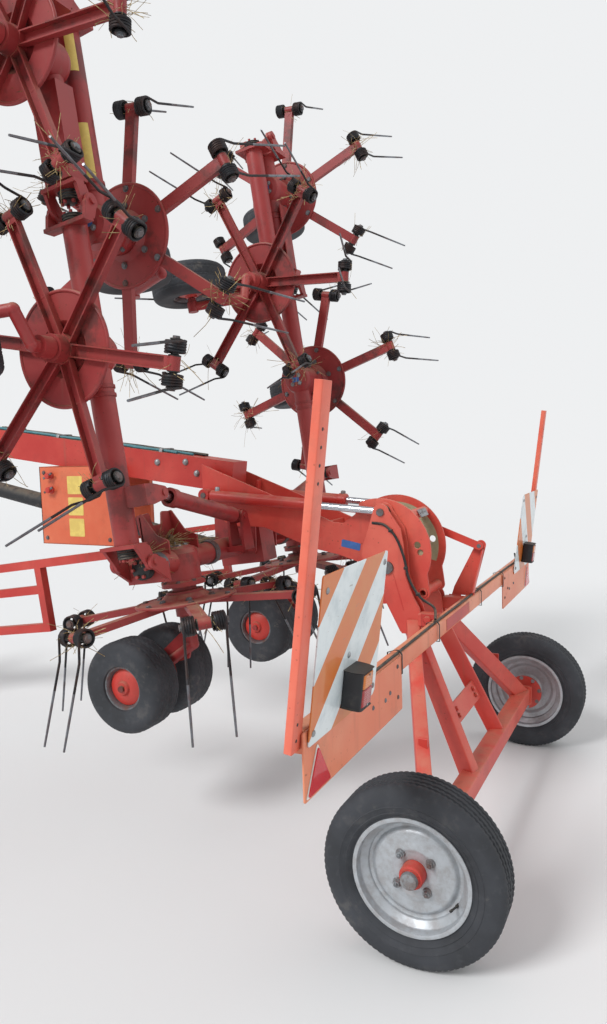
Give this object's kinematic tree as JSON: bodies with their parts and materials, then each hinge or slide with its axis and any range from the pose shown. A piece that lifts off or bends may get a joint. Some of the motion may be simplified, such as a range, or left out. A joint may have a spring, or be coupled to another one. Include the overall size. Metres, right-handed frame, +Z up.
{
  "type": "trailed rotary hay tedder",
  "caption": "Trailed hay tedder with spring-tine rotors on folding wings, shown folded upright on a swing-up transport chassis with a striped rear board bar.",
  "frame": {"origin": "middle of the object's footprint on the ground", "axes": "+X forward to the drawbar, +Y to the machine's left, +Z up"},
  "size_m": [4.471, 2.964, 3.5573],
  "materials": {
    "painted_red": "faded semi-gloss paint",
    "painted_orange": "faded orange paint",
    "painted_dark": "dirty black paint and grease",
    "spring_steel": "black spring steel",
    "bright_steel": "polished cylinder rod",
    "tyre_rubber": "worn tread rubber",
    "rim_silver": "silver rim paint",
    "board_white": "white and orange striped board",
    "lamp": "black lamp case with red and amber lenses",
    "bare_steel": "zinc plated leg"
  },
  "bodies": {
    "frame": {"main_beam": "painted_red", "rear_cheeks": "painted_red", "centre_frame": "painted_red", "centre_gearbox": "painted_red", "drive_line": "painted_dark", "safety_rails": "painted_red", "drawbar_box": "painted_red", "centre_wheel_legs": "painted_red", "jack_sleeve": "painted_red"},
    "hitch": {"hitch_yoke": "painted_red"},
    "jack": {"jack_leg": "bare_steel"},
    "chassis": {"chassis_frame": "painted_red", "rear_bar": "painted_orange", "striped_boards": "board_white", "rear_lamps": "lamp", "guard_posts": "painted_red"},
    "chassis_barrels": {"chassis_cylinder_barrels": "painted_red"},
    "chassis_rods": {"chassis_cylinder_rods": "bright_steel"},
    "left_wheel": {"left_tyre": "tyre_rubber", "left_rim": "rim_silver"},
    "left_wing_inner": {"left_wing_inner": "painted_red"},
    "left_wing_middle": {"left_wing_middle": "painted_red"},
    "left_wing_tip": {"left_wing_tip": "painted_red"},
    "left_lift_barrel": {"left_lift_barrel": "painted_dark"},
    "left_lift_rod": {"left_lift_rod": "bright_steel"},
    "left_centre_rotor": {"left_centre_rotor": "painted_red", "left_centre_tines": "spring_steel"},
    "left_centre_wheel": {"left_centre_wheel": "tyre_rubber"},
    "left_inner_rotor": {"left_inner_rotor": "painted_red", "left_inner_tines": "spring_steel"},
    "left_inner_wheel": {"left_inner_wheel": "tyre_rubber"},
    "left_middle_rotor": {"left_middle_rotor": "painted_red", "left_middle_tines": "spring_steel"},
    "left_middle_wheel": {"left_middle_wheel": "tyre_rubber"},
    "left_outer_rotor": {"left_outer_rotor": "painted_red", "left_outer_tines": "spring_steel"},
    "left_outer_wheel": {"left_outer_wheel": "tyre_rubber"},
    "right_wheel": {"right_tyre": "tyre_rubber", "right_rim": "rim_silver"},
    "right_wing_inner": {"right_wing_inner": "painted_red"},
    "right_wing_middle": {"right_wing_middle": "painted_red"},
    "right_wing_tip": {"right_wing_tip": "painted_red"},
    "right_lift_barrel": {"right_lift_barrel": "painted_dark"},
    "right_lift_rod": {"right_lift_rod": "bright_steel"},
    "right_centre_rotor": {"right_centre_rotor": "painted_red", "right_centre_tines": "spring_steel"},
    "right_centre_wheel": {"right_centre_wheel": "tyre_rubber"},
    "right_inner_rotor": {"right_inner_rotor": "painted_red", "right_inner_tines": "spring_steel"},
    "right_inner_wheel": {"right_inner_wheel": "tyre_rubber"},
    "right_middle_rotor": {"right_middle_rotor": "painted_red", "right_middle_tines": "spring_steel"},
    "right_middle_wheel": {"right_middle_wheel": "tyre_rubber"},
    "right_outer_rotor": {"right_outer_rotor": "painted_red", "right_outer_tines": "spring_steel"},
    "right_outer_wheel": {"right_outer_wheel": "tyre_rubber"}
  },
  "joints": [
    {"name": "hitch_yaw", "type": "hinge", "parent": "frame", "child": "hitch", "pos_m": [2.0455, 0, 0.76], "axis": [0, 0, 1], "range_deg": [-60, 60]},
    {"name": "jack_slide", "type": "slide", "parent": "frame", "child": "jack", "axis": [0, 0, 1], "range_m": [0, 0.25]},
    {"name": "chassis_swing", "type": "hinge", "parent": "frame", "child": "chassis", "pos_m": [-1.6145, 0, 1.06], "axis": [0, 1, 0], "range_deg": [0, 60]},
    {"name": "chassis_barrel_pivot", "type": "hinge", "parent": "frame", "child": "chassis_barrels", "pos_m": [-0.7545, 0, 1.341], "axis": [0, -1, 0], "range_deg": [0, 12.07]},
    {"name": "chassis_rod_slide", "type": "slide", "parent": "chassis_barrels", "child": "chassis_rods", "axis": [0.9972, 0, 0.0752], "range_m": [0, 0.1508]},
    {"name": "left_wheel_roll", "type": "hinge", "parent": "chassis", "child": "left_wheel", "pos_m": [-1.9545, 0.897, 0.281], "axis": [0, 1, 0], "continuous": true},
    {"name": "left_wing_lift", "type": "hinge", "parent": "frame", "child": "left_wing_inner", "pos_m": [-0.86801, 0.791, 1.13929], "axis": [-0.9903, 0, 0.1392], "range_deg": [0, 90]},
    {"name": "left_lift_barrel_pivot", "type": "hinge", "parent": "frame", "child": "left_lift_barrel", "pos_m": [-0.9486, 0.2, 1.25564], "axis": [-0.9903, 0, 0.1392], "range_deg": [0, 17.34]},
    {"name": "left_lift_rod_slide", "type": "slide", "parent": "left_lift_barrel", "child": "left_lift_rod", "axis": [0.0352, 0.9675, 0.2503], "range_m": [0, 0.2895]},
    {"name": "left_wing_float", "type": "hinge", "parent": "left_wing_inner", "child": "left_wing_middle", "pos_m": [-0.68861, 0.817, 2.41574], "axis": [-0.9903, 0, 0.1392], "range_deg": [-4, 4]},
    {"name": "left_tip_fold", "type": "hinge", "parent": "left_wing_middle", "child": "left_wing_tip", "pos_m": [-0.58235, 0.752, 3.17181], "axis": [-0.9903, 0, 0.1392], "range_deg": [0, 180]},
    {"name": "right_wheel_roll", "type": "hinge", "parent": "chassis", "child": "right_wheel", "pos_m": [-1.9545, -0.897, 0.281], "axis": [0, 1, 0], "continuous": true},
    {"name": "right_wing_lift", "type": "hinge", "parent": "frame", "child": "right_wing_inner", "pos_m": [-0.86801, -0.791, 1.13929], "axis": [0.9903, 0, -0.1392], "range_deg": [0, 90]},
    {"name": "right_lift_barrel_pivot", "type": "hinge", "parent": "frame", "child": "right_lift_barrel", "pos_m": [-0.9486, -0.2, 1.25564], "axis": [0.9903, 0, -0.1392], "range_deg": [0, 17.34]},
    {"name": "right_lift_rod_slide", "type": "slide", "parent": "right_lift_barrel", "child": "right_lift_rod", "axis": [0.0352, -0.9675, 0.2503], "range_m": [0, 0.2895]},
    {"name": "right_wing_float", "type": "hinge", "parent": "right_wing_inner", "child": "right_wing_middle", "pos_m": [-0.68861, -0.817, 2.41574], "axis": [0.9903, 0, -0.1392], "range_deg": [-4, 4]},
    {"name": "right_tip_fold", "type": "hinge", "parent": "right_wing_middle", "child": "right_wing_tip", "pos_m": [-0.58235, -0.752, 3.17181], "axis": [0.9903, 0, -0.1392], "range_deg": [0, 180]},
    {"name": "left_centre_spin", "type": "hinge", "parent": "frame", "child": "left_centre_rotor", "pos_m": [-0.8925, 0.52, 0.965], "axis": [0.1392, 0, 0.9903], "continuous": true},
    {"name": "left_centre_wheel_roll", "type": "hinge", "parent": "frame", "child": "left_centre_wheel", "pos_m": [-0.70392, 0.52, 0.62545], "axis": [0, 1, 0], "continuous": true},
    {"name": "left_inner_spin", "type": "hinge", "parent": "left_wing_inner", "child": "left_inner_rotor", "pos_m": [-0.76098, 0.967, 1.9008], "axis": [0, -1, 0], "continuous": true},
    {"name": "left_inner_wheel_roll", "type": "hinge", "parent": "left_wing_inner", "child": "left_inner_wheel", "pos_m": [-0.52926, 1.277, 1.86824], "axis": [0.1392, 0, 0.9903], "continuous": true},
    {"name": "left_middle_spin", "type": "hinge", "parent": "left_wing_middle", "child": "left_middle_rotor", "pos_m": [-0.61624, 0.967, 2.93068], "axis": [0, -1, 0], "continuous": true},
    {"name": "left_middle_wheel_roll", "type": "hinge", "parent": "left_wing_middle", "child": "left_middle_wheel", "pos_m": [-0.38452, 1.277, 2.89812], "axis": [0.1392, 0, 0.9903], "continuous": true},
    {"name": "left_outer_spin", "type": "hinge", "parent": "left_wing_tip", "child": "left_outer_rotor", "pos_m": [-0.6932, 0.537, 2.38306], "axis": [0, 1, 0], "continuous": true},
    {"name": "left_outer_wheel_roll", "type": "hinge", "parent": "left_wing_tip", "child": "left_outer_wheel", "pos_m": [-0.46148, 0.227, 2.3505], "axis": [0.1392, 0, 0.9903], "continuous": true},
    {"name": "right_centre_spin", "type": "hinge", "parent": "frame", "child": "right_centre_rotor", "pos_m": [-0.8925, -0.52, 0.965], "axis": [0.1392, 0, 0.9903], "continuous": true},
    {"name": "right_centre_wheel_roll", "type": "hinge", "parent": "frame", "child": "right_centre_wheel", "pos_m": [-0.70392, -0.52, 0.62545], "axis": [0, 1, 0], "continuous": true},
    {"name": "right_inner_spin", "type": "hinge", "parent": "right_wing_inner", "child": "right_inner_rotor", "pos_m": [-0.76098, -0.967, 1.9008], "axis": [0, 1, 0], "continuous": true},
    {"name": "right_inner_wheel_roll", "type": "hinge", "parent": "right_wing_inner", "child": "right_inner_wheel", "pos_m": [-0.52926, -1.277, 1.86824], "axis": [0.1392, 0, 0.9903], "continuous": true},
    {"name": "right_middle_spin", "type": "hinge", "parent": "right_wing_middle", "child": "right_middle_rotor", "pos_m": [-0.61624, -0.967, 2.93068], "axis": [0, 1, 0], "continuous": true},
    {"name": "right_middle_wheel_roll", "type": "hinge", "parent": "right_wing_middle", "child": "right_middle_wheel", "pos_m": [-0.38452, -1.277, 2.89812], "axis": [0.1392, 0, 0.9903], "continuous": true},
    {"name": "right_outer_spin", "type": "hinge", "parent": "right_wing_tip", "child": "right_outer_rotor", "pos_m": [-0.6932, -0.537, 2.38306], "axis": [0, -1, 0], "continuous": true},
    {"name": "right_outer_wheel_roll", "type": "hinge", "parent": "right_wing_tip", "child": "right_outer_wheel", "pos_m": [-0.46148, -0.227, 2.3505], "axis": [0.1392, 0, 0.9903], "continuous": true}
  ],
  "couplings": [
    {"joint": "chassis_barrel_pivot", "follows": "chassis_swing", "ratio": 0.20113},
    {"joint": "chassis_rod_slide", "follows": "chassis_swing", "m_per_rad": 0.144},
    {"joint": "left_lift_barrel_pivot", "follows": "left_wing_lift", "ratio": 0.19269},
    {"joint": "left_lift_rod_slide", "follows": "left_wing_lift", "m_per_rad": 0.18427},
    {"joint": "left_tip_fold", "follows": "left_wing_lift", "ratio": 2},
    {"joint": "right_lift_barrel_pivot", "follows": "right_wing_lift", "ratio": 0.19269},
    {"joint": "right_lift_rod_slide", "follows": "right_wing_lift", "m_per_rad": 0.18427},
    {"joint": "right_tip_fold", "follows": "right_wing_lift", "ratio": 2},
    {"joint": "left_inner_spin", "follows": "left_centre_spin", "ratio": -1},
    {"joint": "left_middle_spin", "follows": "left_centre_spin", "ratio": 1},
    {"joint": "left_outer_spin", "follows": "left_centre_spin", "ratio": -1},
    {"joint": "right_centre_spin", "follows": "left_centre_spin", "ratio": -1},
    {"joint": "right_inner_spin", "follows": "left_centre_spin", "ratio": 1},
    {"joint": "right_middle_spin", "follows": "left_centre_spin", "ratio": -1},
    {"joint": "right_outer_spin", "follows": "left_centre_spin", "ratio": 1}
  ]
}
